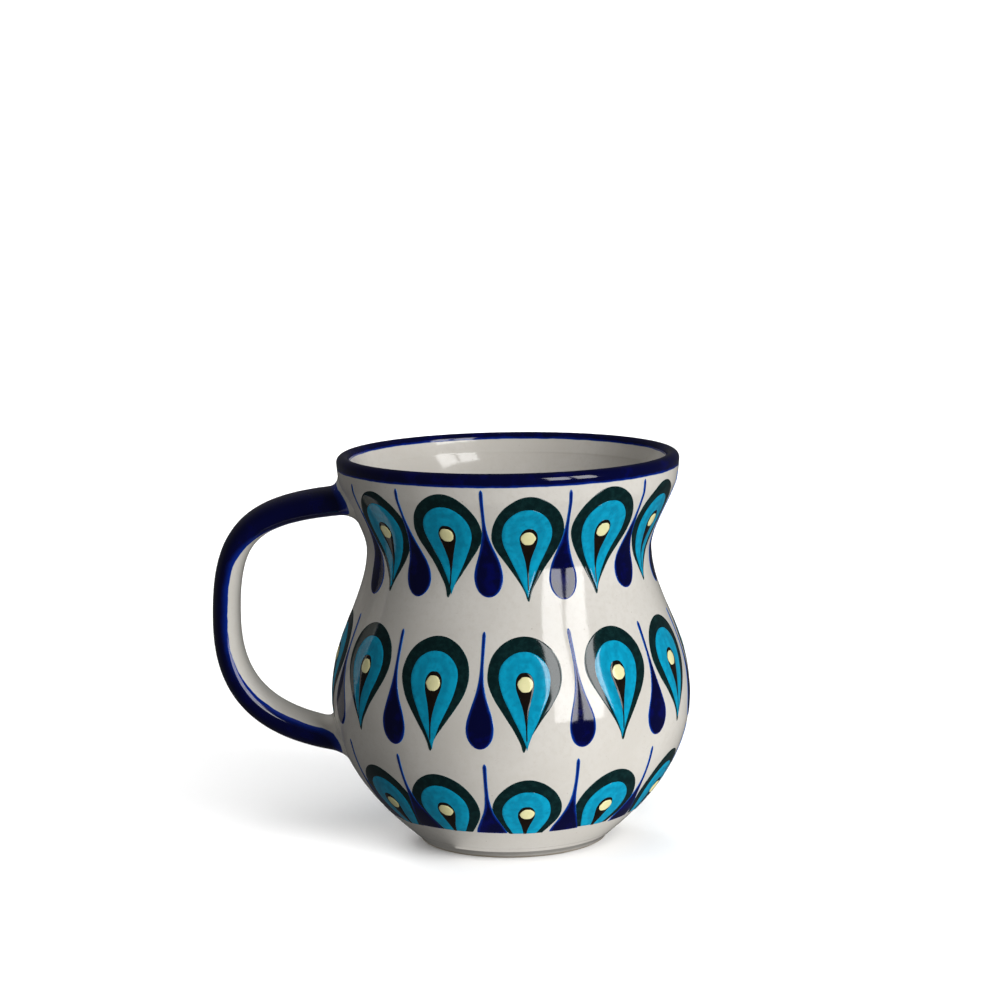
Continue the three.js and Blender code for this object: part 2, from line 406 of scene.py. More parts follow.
class Tree(Nodes):
    """A Geometry Nodes tree with named inputs, which ends in Realize Instances and Set Material."""

    def __init__(self, name, inputs):
        super().__init__(bpy.data.node_groups.new(name, "GeometryNodeTree"))
        interface = self.tree.interface
        interface.new_socket("Geometry", in_out="INPUT", socket_type="NodeSocketGeometry")
        self.identifiers = {}
        for label, kind in {**inputs, "Material": "Material"}.items():
            socket = interface.new_socket(label, in_out="INPUT", socket_type="NodeSocket" + kind)
            self.identifiers[label] = socket.identifier
        interface.new_socket("Geometry", in_out="OUTPUT", socket_type="NodeSocketGeometry")
        self.group_input = self.tree.nodes.new("NodeGroupInput")
        self.group_output = self.tree.nodes.new("NodeGroupOutput")

    def given(self, label):
        return Value(self, self.group_input.outputs[label])

    def read(self, name):
        return self.add("GeometryNodeInputNamedAttribute", settings={"data_type": "FLOAT"}, name=name)

    def store(self, geometry, name, value):
        number = {"data_type": "FLOAT", "domain": "POINT"}
        return self.add("GeometryNodeStoreNamedAttribute", geometry, settings=number, name=name, value=value)

    def place(self, geometry, position):
        return self.add("GeometryNodeSetPosition", geometry, position=position)

    def round_axis(self, radius, turn, height, axis=0.0):
        """A place at an angle round an upright axis, from the front."""
        return self.vector(axis + radius * turn.sum("SINE"), radius * turn.sum("COSINE") * -1, height)

    def wobble(self, position):
        """How far the thrown wall stands out at a position, which the paint on it follows."""
        noise = self.add(
            "ShaderNodeTexNoise", settings={"noise_dimensions": "3D"}, vector=position,
            scale=self.math("DIVIDE", 1.0, self.given("Wobble Size")), detail=1.0,
        )
        return (noise - 0.5) * self.given("Wobble")

    def finish(self, geometry, weld):
        merged = self.add("GeometryNodeMergeByDistance", geometry, distance=weld)
        smooth_faces = self.add("GeometryNodeSetShadeSmooth", merged)
        real = self.add("GeometryNodeRealizeInstances", smooth_faces)
        painted = self.add("GeometryNodeSetMaterial", real, material=self.given("Material"))
        self.join(painted, self.group_output.inputs["Geometry"])

    def applied(self, name, start, values):
        """A plain mesh object made by this tree from the start object, which is then removed."""
        modifier = start.modifiers.new("Shape", "NODES")
        modifier.node_group = self.tree
        for label, value in values.items():
            modifier[self.identifiers[label]] = value
        bpy.context.view_layer.update()
        graph = bpy.context.evaluated_depsgraph_get()
        mesh = bpy.data.meshes.new_from_object(
            start.evaluated_get(graph), preserve_all_data_layers=True, depsgraph=graph,
        )
        start.modifiers.remove(modifier)
        bpy.data.objects.remove(start, do_unlink=True)
        return finished(name, mesh)


def turned_tree():
    """Turns an outline, kept as a line of points with x as the radius, about the cup's axis."""
    tree = Tree("turned_clay", {
        "Around": "Int", "Axis X": "Float", "Wobble": "Float", "Wobble Size": "Float",
    })
    outline = tree.given("Geometry")
    count = tree.add("GeometryNodeAttributeDomainSize", outline)
    around = tree.given("Around")
    grid = tree.add("GeometryNodeMeshGrid", 1.0, 1.0, around + 1, count)
    index = tree.add("GeometryNodeInputIndex")
    row = index.sum("MODULO", count)

    def of_row(value, kind):
        settings = {"data_type": kind, "domain": "POINT"}
        return tree.add("GeometryNodeSampleIndex", outline, value, row, settings=settings)

    turn = (index / count).sum("FLOOR") / around * (2 * math.pi)
    radius, _, height = tree.split(of_row(tree.add("GeometryNodeInputPosition"), "FLOAT_VECTOR"))
    off_axis = tree.clamp(radius / (5 * MM))
    swollen = radius + tree.wobble(tree.round_axis(radius, turn, height)) * off_axis
    shaped = tree.place(grid, tree.round_axis(swollen, turn, height, tree.given("Axis X")))
    tree.finish(tree.store(shaped, "paint", of_row(tree.read("paint"), "FLOAT")), 5e-6)
    return tree


# How far down its length the point is that a leaning stroke turns about.
LEAN_PIVOT = 0.4


def stroke_tree():
    """Paints one closed, lens-thin brush stroke at each point given, wrapped on the wall.

    Each point carries turn (angle round the cup), level (its top, as length along the wall),
    long and wide (its size), lean, grain (any number), head_down (1 if its round end is
    below), start and end (how much of it is painted, from its point to its round head) and
    floor (the level under which it was wiped away).
    """
    sizes = (
        "Axis X", "Widest", "Point", "Head", "Tail", "Relief", "Sink", "Waver", "Wobble",
        "Wobble Size", "Seed",
    )
    tree = Tree("painted_strokes", {
        "Wall": "Object", "Steps Along": "Int", "Steps Round": "Int",
        **{label: "Float" for label in sizes},
    })
    along, round_steps = tree.given("Steps Along"), tree.given("Steps Round")
    columns = round_steps + 1
    grid = tree.add("GeometryNodeMeshGrid", 1.0, 1.0, along, columns)
    index = tree.add("GeometryNodeInputIndex")
    grid = tree.store(grid, "reach", (index / columns).sum("FLOOR") / (along - 1))
    grid = tree.store(grid, "section", index.sum("MODULO", columns) / round_steps)
    strokes = tree.add("GeometryNodeInstanceOnPoints", tree.given("Geometry"), instance=grid)
    strokes = tree.add("GeometryNodeRealizeInstances", strokes)

    # How far along the stroke: 0 at its point and 1 at its round head, closest at both ends.
    even = (1 - (tree.read("reach") * math.pi).sum("COSINE")) * 0.5
    first, last = tree.read("start"), tree.read("end")
    part = first + even * (last - first)
    long = tree.read("long")
    from_ends = (part - first).sum("MINIMUM", last - part) * long

    # Half its width there: a drop's outline, with a tail that ends blunt.
    blunt_length, thin_side, thin_end, steady_end = 0.9 * MM, 0.35 * MM, 0.3 * MM, 3 * MM
    widest, point = tree.given("Widest"), tree.given("Point")
    swell = (part ** tree.math("LOGARITHM", 0.5, widest) * math.pi).sum("SINE").sum("MAXIMUM", 0.0)
    nearer_head = part.sum("GREATER_THAN", widest)
    drop_shape = swell ** (point + nearer_head * (tree.given("Head") - point))
    blunt = tree.clamp(part * long / blunt_length) ** 0.5
    tail = tree.given("Tail") * blunt * (1 - part) ** 0.5
    full = (drop_shape ** 2.0 + tail ** 2.0) ** 0.5
    half = tree.read("wide") * 0.5 * full

    # Its lens-thin section, which stands proud of the glaze and thins out to nothing.
    section = tree.read("section") * (2 * math.pi)
    aside, upright = section.sum("COSINE"), section.sum("SINE")
    above = upright.sum("MAXIMUM", 0.0) ** 0.45 * tree.given("Relief")
    below = upright.sum("MINIMUM", 0.0) * tree.given("Sink")
    thin = tree.clamp(half / thin_side) * tree.clamp(from_ends / thin_end)
    proud = (above + below) * thin ** 0.5

    # The hand's waver bends the whole stroke softly, and no two the same.
    waver = tree.add(
        "ShaderNodeTexNoise", settings={"noise_dimensions": "3D"}, take="Color",
        scale=1.0, detail=2.0,
        vector=tree.vector(part * 2.6, aside * 1.1, tree.read("grain") * 37 + tree.given("Seed")),
    )
    sideways, lengthways, _ = tree.split(waver)
    across = half * aside + (sideways - 0.5) * tree.given("Waver") * tree.clamp(full * 3)
    down_share = (1 - part) + tree.read("head_down") * (part * 2 - 1)
    inner_part = tree.clamp(from_ends / steady_end)
    down = down_share * long + (lengthways - 0.5) * tree.given("Waver") * inner_part
    lean = tree.read("lean")
    pivot = long * LEAN_PIVOT
    tilted = across * lean.sum("COSINE") + (down - pivot) * lean.sum("SINE")
    drop = (down - pivot) * lean.sum("COSINE") - across * lean.sum("SINE") + pivot

    # The wall at that level, and the stroke laid on it.
    wall = tree.add("GeometryNodeObjectInfo", tree.given("Wall"), take="Geometry")
    sample = tree.add(
        "GeometryNodeSampleCurve", tree.add("GeometryNodeMeshToCurve", wall),
        settings={"mode": "LENGTH", "use_all_curves": True},
        length=(tree.read("level") - drop).sum("MAXIMUM", tree.read("floor")),
    )
    spot, heading = tree.outputs(sample, "Position", "Tangent")
    radius, _, height = tree.split(spot)
    heading_x, _, heading_z = tree.split(heading)
    turn = tree.read("turn") + tilted / radius
    reach = radius + tree.wobble(tree.round_axis(radius, turn, height)) + proud * heading_z
    from_side = half * (1 - aside.sum("ABSOLUTE"))
    strokes = tree.store(strokes, "edge", from_side.sum("MINIMUM", from_ends * 1.2 + 0.1 * MM) / MM)
    laid = tree.round_axis(reach, turn, height - proud * heading_x, tree.given("Axis X"))
    tree.finish(tree.place(strokes, laid), 4e-6)
    return tree


# ---- meshes and objects ----------------------------------------------------------------


def made(name, data):
    piece = bpy.data.objects.new(name, data)
    bpy.context.scene.collection.objects.link(piece)
    return piece


def written(mesh, name, values):
    """The mesh's points carry these numbers under the name."""
    attribute = mesh.attributes.new(name, "FLOAT", "POINT")
    for index, value in enumerate(values):
        attribute.data[index].value = value


def finished(name, mesh):
    """An object for a closed mesh, with its faces outwards and its crisp edges kept."""
    crease = math.radians(50)
    shape = bmesh.new()
    shape.from_mesh(mesh)
    bmesh.ops.recalc_face_normals(shape, faces=shape.faces)
    if shape.calc_volume(signed=True) < 0:
        bmesh.ops.reverse_faces(shape, faces=shape.faces)
    shape.to_mesh(mesh)
    shape.free()
    mesh.name = name
    for face in mesh.polygons:
        face.use_smooth = True
    mesh.set_sharp_from_angle(angle=crease)
    return made(name, mesh)


# What the paint attribute says where there is no paint near.
UNPAINTED = -9.0


def line_object(name, line, paint=None):
    """A line of points joined by edges, with x as the radius and z as the height."""
    mesh = bpy.data.meshes.new(name)
    mesh.from_pydata(
        [(radius, 0, height) for radius, height in line],
        [(index, index + 1) for index in range(len(line) - 1)], [],
    )
    written(mesh, "paint", paint or [UNPAINTED] * len(line))
    return made(name, mesh)


def point_object(name, spots):
    """Points that each carry the named numbers of a spot."""
    mesh = bpy.data.meshes.new(name)
    mesh.from_pydata([(0, 0, 0)] * len(spots), [], [])
    for key in spots[0]:
        written(mesh, key, [one[key] for one in spots])
    return made(name, mesh)


def ridden(piece, slot, *nodes):
    """The piece rides on the mug and stands for the CAD nodes named, which are hidden. The slot is not used.
    """
    if nodes:
        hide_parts(*nodes)
    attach(piece, "root")
    return piece


# ---- materials -------------------------------------------------------------------------


# How high the skin of the glaze stands where its relief is 1.
GLAZE_DEPTH = 0.055 * MM


class Finish(Nodes):
    """A glossy fired surface whose colour, gloss and relief come from nodes."""

    def __init__(self, name):
        self.material = bpy.data.materials.new(name)
        self.material.use_nodes = True
        super().__init__(self.material.node_tree)
        self.surface = self.tree.nodes["Principled BSDF"]
        self.place_in_mug = self.add("ShaderNodeTexCoord", take="Object")

    def attribute(self, name):
        return self.add("ShaderNodeAttribute", take="Fac", settings={"attribute_name": name})

    def noise(self, length, detail=2.0, roughness=0.5):
        """Soft noise whose swells are about the given length."""
        return self.add(
            "ShaderNodeTexNoise", take="Fac", vector=self.place_in_mug,
            scale=1 / length, detail=detail, roughness=roughness,
        )

    def mix(self, share_of_second, first, second):
        node = self.tree.nodes.new("ShaderNodeMix")
        node.data_type = "RGBA"
        self.join(share_of_second, node.inputs["Factor"])
        for name, value in (("A", first), ("B", second)):
            tint = value if isinstance(value, Value) else (*value, 1.0)
            self.join(tint, self.of_colour(node.inputs, name))
        return Value(self, self.of_colour(node.outputs, "Result"))

    @staticmethod
    def of_colour(sockets, name):
        """The colour socket of that name, since a mix node has one for each kind of value."""
        return next(socket for socket in sockets if socket.name == name and socket.type == "RGBA")

    def done(self, base, roughness, relief):
        bump = self.add("ShaderNodeBump", take="Normal", strength=1.0, distance=GLAZE_DEPTH, height=relief)
        parts = {"Base Color": base, "Roughness": roughness, "Normal": bump, "IOR": 1.45}
        for name, value in parts.items():
            self.join(value, self.surface.inputs[name])
        return self.material


def glaze_relief(finish):
    """The orange-peel skin of a fired glaze."""
    return finish.noise(9 * MM, 1.0) * 0.75 + finish.noise(1.3 * MM, 1.0) * 0.07


def glaze_gloss(finish):
    return finish.noise(6 * MM, 3.0) * 0.07 + 0.05


def glazed(finish, base):
    """The finished material of that colour under a glaze."""
    return finish.done(base, glaze_gloss(finish), glaze_relief(finish))


def toned(colour, *shares):
    """The colour with its red, green and blue each brought down to a share."""
    return tuple(level * share for level, share in zip(colour, shares))


def white_glaze(finish, base, speckled=1.0):
    """Off-white glaze with cloudy patches and small iron specks from the clay below."""
    cloud = finish.ramp(finish.noise(26 * MM, 4.0), 0.35, 0.68)
    shaded = finish.mix(cloud, base, toned(base, 0.90, 0.895, 0.885))
    mottle = finish.ramp(finish.noise(1.5 * MM, 4.0, 0.65), 0.42, 0.7) * 0.5
    shaded = finish.mix(mottle, shaded, toned(base, 0.89, 0.875, 0.85))
    freckle = finish.add(
        "ShaderNodeTexVoronoi", settings={"feature": "F1"},
        vector=finish.place_in_mug, scale=1 / (2.1 * MM),
    )
    distance, chance = finish.outputs(freckle, "Distance", "Color")
    luck, tone, _ = finish.split(chance)
    speck = (1 - finish.ramp(distance, 0.03, 0.115)) * finish.ramp(luck, 0.55, 0.75)
    fine = finish.ramp(finish.noise(0.42 * MM, 2.0), 0.66, 0.76) * 0.2
    dust = (speck * tone * 0.55).sum("MAXIMUM", fine) * speckled
    return finish.mix(dust, shaded, (0.24, 0.18, 0.125))


def cobalt_shade(finish, colours, depth, deep, pooled):
    """Cobalt that is thin and light at its edge, and almost black where it is thick."""
    pool = finish.ramp(finish.noise(4.5 * MM, 3.0), 0.5, 0.66) * pooled
    core = finish.mix(pool, colours.cobalt, colours.cobalt_pool)
    thick = finish.ramp(finish.noise(2.6 * MM, 3.0) * 0.7 + depth - 0.35, 0.1, deep)
    halo = finish.ramp(depth + finish.noise(1.1 * MM) * 0.2, 0.1, 0.36)
    middle = finish.mix(thick, colours.cobalt_edge, core)
    return finish.mix(halo, (0.012, 0.15, 0.48), middle)


def outside_glaze(colours):
    finish = Finish("outside_glaze")
    return glazed(finish, white_glaze(finish, colours.white))


def inside_glaze(colours):
    """White glaze that takes on the lip's off-white towards the rim."""
    finish = Finish("inside_glaze")
    _, _, height = finish.split(finish.place_in_mug)
    near_lip = white_glaze(finish, colours.white, 0.6)
    further_down = white_glaze(finish, colours.inside, 0.35)
    return glazed(finish, finish.mix(finish.ramp(height, 76 * MM, 93 * MM), further_down, near_lip))


def brushed_cobalt(colours, name, waver, deep, pooled):
    """White glaze with cobalt brushed over it, where the paint attribute is above nothing."""
    finish = Finish(name)
    white = white_glaze(finish, colours.white, 0.6)
    depth = finish.attribute("paint") + (finish.noise(5 * MM, 3.0) - 0.5) * waver
    painted = finish.ramp(depth, 0.0, 0.16)
    base = finish.mix(painted, white, cobalt_shade(finish, colours, depth, deep, pooled))
    return finish.done(base, glaze_gloss(finish), glaze_relief(finish) + painted * 0.9)


def bare_foot(colours):
    """Glaze that stops just short of the flat of the foot, which is bare clay."""
    finish = Finish("bare_foot")
    _, _, height = finish.split(finish.place_in_mug)
    uneven = (finish.noise(3 * MM, 3.0) - 0.5) * (0.5 * MM)
    covered = finish.ramp(height + uneven, 0.35 * MM, 0.6 * MM)
    grit = finish.noise(0.5 * MM, 4.0, 0.7)
    clay = finish.mix(grit, colours.clay, toned(colours.clay, 0.68, 0.68, 0.68))
    base = finish.mix(covered, clay, white_glaze(finish, colours.white))
    relief = glaze_relief(finish) * covered + grit * (1 - covered) * 1.6
    return finish.done(base, 0.85 - covered * 0.76, relief)


def stroke_paint(name, middle, edge, edge_width, streaky, streak, ringed=0.0):
    """Brushed underglaze: streaky, thin at its edge, and if ringed, deeper in a band inside it."""
    finish = Finish(name)
    depth = finish.attribute("edge")
    streaks = finish.ramp(finish.noise(1.5 * MM, 4.0, 0.6), 0.38, 0.72)
    base = finish.mix(streaks * streaky, middle, streak)
    uneven = (finish.noise(1.7 * MM, 2.0) - 0.5) * edge_width * 0.8
    base = finish.mix(1 - finish.ramp(depth + uneven, 0.0, edge_width), base, edge)
    if ringed:
        band = finish.ramp(depth, 1.6, 2.6) * (1 - finish.ramp(depth, 3.2, 4.4))
        base = finish.mix(band * ringed, base, edge)
    return glazed(finish, base)


def outline_paint(colours):
    thin, streak = (0.008, 0.055, 0.06), (0.006, 0.034, 0.034)
    return stroke_paint("outline_paint", colours.outline, thin, 0.28, 0.5, streak)


def turquoise_paint(colours):
    deep = colours.turquoise_deep
    return stroke_paint("turquoise_paint", colours.turquoise, deep, 0.5, 0.75, deep, 0.45)


def pupil_paint(colours):
    thin, streak = (0.014, 0.02, 0.018), (0.02, 0.011, 0.006)
    return stroke_paint("pupil_paint", colours.pupil, thin, 0.2, 0.3, streak)


def dot_paint(colours):
    thin, streak = (0.40, 0.36, 0.14), (0.70, 0.68, 0.33)
    return stroke_paint("dot_paint", colours.dot, thin, 0.22, 0.5, streak)


def drop_paint(colours):
    finish = Finish("drop_paint")
    return glazed(finish, cobalt_shade(finish, colours, finish.attribute("edge"), 0.85, 0.35))


# ---- the turned clay -------------------------------------------------------------------


def shared(key, make):
    """Something that several operators need, made once."""
    if key not in frame.setdefault("shared", {}):
        frame["shared"][key] = make()
    return frame["shared"][key]


def outline_of(scene):
    return shared("outline", lambda: Outline(scene.mug_clay.smoothing))


def turn_clay(context, name, line, material, paint=None):
    clay = context.scene.mug_clay
    return shared("turned_tree", turned_tree).applied(name, line_object(name + "_outline", line, paint), {
        "Around": clay.around, "Axis X": AXIS_X, "Wobble": clay.wobble,
        "Wobble Size": clay.wobble_size, "Material": material,
    })


class MUG_OT_foot(bpy.types.Operator):
    """Turn the foot ring, glazed down to its bare flat"""
    bl_idname = "mug.foot"
    bl_label = "Foot ring"

    def execute(self, context):
        outline = outline_of(context.scene)
        hollow = min(radius for radius, _ in rings("foot_ring", lambda normal, out, centre: True))
        edge = 0.8 * MM
        line = outline.foot + [(hollow, FOOT_SEAM), (hollow, edge)]
        line += [(hollow + edge * (1 - math.cos(t)), edge * (1 - math.sin(t))) for t in (0.5, 1.0)]
        line += [(hollow + edge, 0.0), (outline.foot[0][0] - edge, 0.0)]
        line += [(outline.foot[0][0] - edge * 0.35, edge * 0.2), outline.foot[0]]
        piece = turn_clay(context, "foot_ring_glazed", line, bare_foot(context.scene.mug_colours))
        ridden(piece, "bare_clay", "foot_ring")
        return {"FINISHED"}


class MUG_OT_wall(bpy.types.Operator):
    """Throw the wall and floor of the cup, with the outside glaze"""
    bl_idname = "mug.wall"
    bl_label = "Cup wall"

    def execute(self, context):
        outline = outline_of(context.scene)
        hidden = rings("cup_body", Outline.open_side)
        highest, lowest = LIP_SEAM - 0.5 * MM, BODY_LOW[2] + 1 * MM
        hidden = [ring for ring in hidden if lowest < ring[1] < highest]
        hidden.sort(key=lambda ring: (-round(ring[1], 5), -ring[0]))
        top = (hidden[0][0] + 0.2 * MM, LIP_SEAM)
        line = [(0.0, FOOT_SEAM)] + outline.wall + [top] + hidden
        piece = turn_clay(context, "cup_wall", line, outside_glaze(context.scene.mug_colours))
        ridden(piece, "outside_glaze", "cup_body")
        return {"FINISHED"}


class MUG_OT_lip(bpy.types.Operator):
    """Roll the lip and brush its cobalt band"""
    bl_idname = "mug.lip"
    bl_label = "Lip band"

    def execute(self, context):
        clay = context.scene.mug_clay
        line = outline_of(context.scene).lip
        lengths = station(line)
        crest = lengths[max(range(len(line)), key=lambda index: line[index][1])]
        paint = []
        for length in lengths:
            band = clay.band_outside if length < crest else clay.band_inside
            paint.append((band - abs(length - crest)) / MM)
        closed = line + [line[0]]
        material = brushed_cobalt(context.scene.mug_colours, "lip_cobalt", 0.35, 0.9, 0.22)
        piece = turn_clay(context, "painted_lip", closed, material, paint + [paint[0]])
        ridden(piece, "cobalt_glaze", "lip_band")
        return {"FINISHED"}


class MUG_OT_inside(bpy.types.Operator):
    """Pour the white glaze over the inside"""
    bl_idname = "mug.inside"
    bl_label = "Inside glaze"

    def execute(self, context):
        line = outline_of(context.scene).inside
        line = line[:-1] + [(0.0, line[-1][1])]
        back = 0.7 * MM
        behind = [(0.0, line[-1][1] - back)]
        for before, here, after in reversed(list(zip(line, line[1:], line[2:]))):
            run = Vector(after) - Vector(before)
            side = Vector((-run.y, run.x)).normalized() * -back
            behind.append((max(here[0] - side.x, 0.0), here[1] - side.y))
        behind.append((line[0][0] + back, line[0][1]))
        piece = turn_clay(
            context, "inside_glaze_coat", line + behind[::2] + [behind[-1], line[0]],
            inside_glaze(context.scene.mug_colours),
        )
        ridden(piece, "inside_glaze", "liner_glaze")
        return {"FINISHED"}


# ---- the handle ------------------------------------------------------------------------


def bezier(points, t):
    a, b, c, d = points
    return a * (1 - t) ** 3 + b * 3 * t * (1 - t) ** 2 + c * 3 * t ** 2 * (1 - t) + d * t ** 3


class StrapLine:
    """The line that the pulled strap follows, from inside the wall to inside the wall."""

    def __init__(self, outline, sizes):
        upper = CAD_BOX[1][2] - sizes.upper_drop
        lower = sizes.lower_height
        middle = (upper + lower) / 2
        start_depth, kept_depth = 9 * MM, 6 * MM
        top = HANDLE_REACH - sizes.thickness / 2
        upper_x = outline.radius(upper) - start_depth
        lower_x = outline.radius(lower) - start_depth

        def at(reach, height):
            return Vector((AXIS_X - reach, 0, height))

        # Each bend is one curve, and its two middle points pull it into shape.
        upper_bend = [
            at(upper_x, upper), at(upper_x + 0.8 * (top - upper_x), upper - 1.2 * MM),
            at(top, middle + 0.82 * (upper - middle)), at(top, middle),
        ]
        lower_bend = [
            at(top, middle), at(top, middle - 0.49 * (middle - lower)),
            at(lower_x + 0.83 * (top - lower_x), lower + 2.2 * MM), at(lower_x, lower),
        ]
        steps = 200
        fine = [bezier(upper_bend, step / steps) for step in range(steps)]
        fine += [bezier(lower_bend, step / steps) for step in range(steps + 1)]
        kept = [outline.gap(point) > -kept_depth for point in fine]
        self.points = fine[kept.index(True):len(fine) - kept[::-1].index(True)]
        self.lengths = station([tuple(point) for point in self.points])
        self.length = self.lengths[-1]

    def at(self, length):
        """The point at a length, and the direction outwards there."""
        length = min(max(length, 0.0), self.length)
        last = len(self.lengths) - 1
        index = next((i for i, reached in enumerate(self.lengths) if reached > length), last)
        start, end = self.points[index - 1], self.points[index]
        span = max(self.lengths[index] - self.lengths[index - 1], 1e-9)
        t = (length - self.lengths[index - 1]) / span
        before = self.points[max(index - 3, 0)]
        after = self.points[min(index + 2, len(self.points) - 1)]
        along = (after - before).normalized()
        return start.lerp(end, t), Vector((along.z, 0, -along.x))


def fillet(gap, radius):
    """How far a root spreads, so that it meets the wall in a quarter round."""
    if gap >= radius:
        return 0.0
    return radius - math.sqrt(max(radius ** 2 - (radius - max(gap, 0.0)) ** 2, 0.0))


def soft_least(first, second, blend):
    """The lesser of two lengths, with the corner between them rounded."""
    near = max(blend - abs(first - second), 0.0) / blend
    return min(first, second) - near * near * blend / 4


def eased(value, low, high):
    """0 below low and 1 above high, with a soft change between."""
    t = min(max((value - low) / (high - low), 0.0), 1.0)
    return t * t * (3 - 2 * t)


def strap_line(context):
    return shared("strap_line", lambda: StrapLine(outline_of(context.scene), context.scene.mug_handle))


def strap_section(sizes, length, out, sides):
    """The corners of the strap's section, from its middle.

    Slow waves along the strap stand for the unevenness of pulling. The powers square the
    section up a little, and its inner face is a bit flatter than its outer one.
    """
    sway = sizes.unevenness * math.sin(length / (13 * MM)) * math.sin(length / (31 * MM) + 1)
    half_width = sizes.width / 2 + sway
    half_thick = sizes.thickness / 2 + sizes.unevenness * 0.6 * math.sin(length / (17 * MM) + 2)
    section = []
    for side in range(sides):
        turn = math.pi * 2 * side / sides
        c, s = math.cos(turn), math.sin(turn)
        across = math.copysign(abs(c) ** 0.8, c) * half_width
        up = math.copysign(abs(s) ** 0.9, s) * half_thick * (1.0 if s > 0 else 0.94)
        section.append(Vector((0, across, 0)) + out * up)
    return section


def strap_piece(name, context, start, end, count, sides=64):
    """A closed stretch of the strap, whose corners carry how deep in the paint they are."""
    sizes, outline, line = context.scene.mug_handle, outline_of(context.scene), strap_line(context)
    shape, paint, loops = bmesh.new(), [], []
    for step in range(count + 1):
        length = start + (end - start) * step / count
        along = length / line.length
        centre, out = line.at(length)
        bare = sizes.bare_top + (sizes.bare_width - sizes.bare_top) * eased(along, 0.2, 0.4)
        bare += (sizes.bare_foot - sizes.bare_width) * eased(along, 0.55, 0.8)
        section = strap_section(sizes, length, out, sides)
        lengths = station([tuple(point) for point in section + section[:1]])
        inner = lengths[3 * sides // 4]
        corners = []
        for side, offset in enumerate(section):
            point = outline.worked(centre + offset, offset.normalized(), sizes.fillet)
            corners.append(shape.verts.new(point))
            arc = abs(lengths[side] - inner)
            from_inner = min(arc, lengths[-1] - arc) - bare / 2
            from_wall = outline.gap(point) - sizes.bare_root
            paint.append(soft_least(from_inner, from_wall, 4 * MM) / MM)
        loops.append(corners)
    for near, far in zip(loops, loops[1:]):
        for side in range(sides):
            after = (side + 1) % sides
            shape.faces.new((near[side], near[after], far[after], far[side]))
    for cap in (loops[0], loops[-1]):
        centre = sum((corner.co for corner in cap), Vector()) / sides
        middle = shape.verts.new(outline.worked(centre, Vector(), 0.0))
        for side in range(sides):
            shape.faces.new((cap[side], cap[(side + 1) % sides], middle))
        paint.append(UNPAINTED)
    mesh = bpy.data.meshes.new(name)
    shape.to_mesh(mesh)
    shape.free()
    written(mesh, "paint", paint)
    piece = finished(name, mesh)
    piece.data.materials.append(shared("handle_cobalt", lambda: brushed_cobalt(
        context.scene.mug_colours, "handle_cobalt", 0.9, 2.2, 0.1)))
    return piece


def strap_ends(context):
    """Where along the line the plain strap starts and ends, and how long the line is."""
    line, root = strap_line(context), 12 * MM
    return root, line.length - root, line.length


class MUG_OT_handle(bpy.types.Operator):
    """Pull the strap of the handle, cobalt outside and white inside"""
    bl_idname = "mug.handle"
    bl_label = "Handle"

    def execute(self, context):
        start, end, _ = strap_ends(context)
        ridden(strap_piece("handle_strap", context, start, end, 230), "cobalt_glaze", "handle")
        return {"FINISHED"}


class MUG_OT_joints(bpy.types.Operator):
    """Work the clay round the handle's two roots"""
    bl_idname = "mug.joints"
    bl_label = "Handle joints"

    def execute(self, context):
        start, end, length = strap_ends(context)
        upper = strap_piece("upper_joint_clay", context, 0.0, start, 60)
        ridden(upper, "outside_glaze", "handle_upper_joint")
        lower = strap_piece("lower_joint_clay", context, end, length, 60)
        ridden(lower, "outside_glaze", "handle_lower_joint")
        return {"FINISHED"}


# ---- the painted pattern ---------------------------------------------------------------


# The wall's usual radius, which makes a shift round the cup into an angle.
WALL_RADIUS = 42 * MM

# A stroke within this many clear angles of a root is moved off by this share of the rest.
EASE_REACH = 4.15
EASE_SHARE = 0.135

# How deep the hidden side of a stroke lies in the glaze.
STROKE_SINK = 0.25 * MM


def pattern_rows(pattern):
    """Top of each row, where its paint is wiped away, and how near the handle it stops."""
    clear = pattern.root_clear
    return [
        (pattern.upper_row, 0.0, clear), (pattern.middle_row, 0.0, 0.0),
        (pattern.lower_row, pattern.wiped, clear),
    ]


def from_handle(turn):
    return math.remainder(turn + math.pi / 2, 2 * math.pi)


def beside_handle(turn, clear):
    """Whether a stroke at this turn would run into the handle's root."""
    return abs(from_handle(turn)) < clear


def eased_off(turn, clear):
    """The turn, moved along from a root to give its fillet room, and less the farther it is."""
    near = max(EASE_REACH * clear - abs(from_handle(turn)), 0.0) if clear else 0.0
    return turn + math.copysign(EASE_SHARE * near, from_handle(turn))


def spot(level, floor, long, wide, turn, lean, grain, head_down=False):
    """One stroke: its place, its size and how much of it lies above the wiped edge."""
    kept = min((level - floor) / long, 1.0)
    start, end = (0.0, kept) if head_down else (1.0 - kept, 1.0)
    return {
        "turn": turn, "level": level, "long": long, "wide": wide, "lean": lean, "grain": grain,
        "head_down": 1.0 if head_down else 0.0, "start": start, "end": end, "floor": floor,
    }


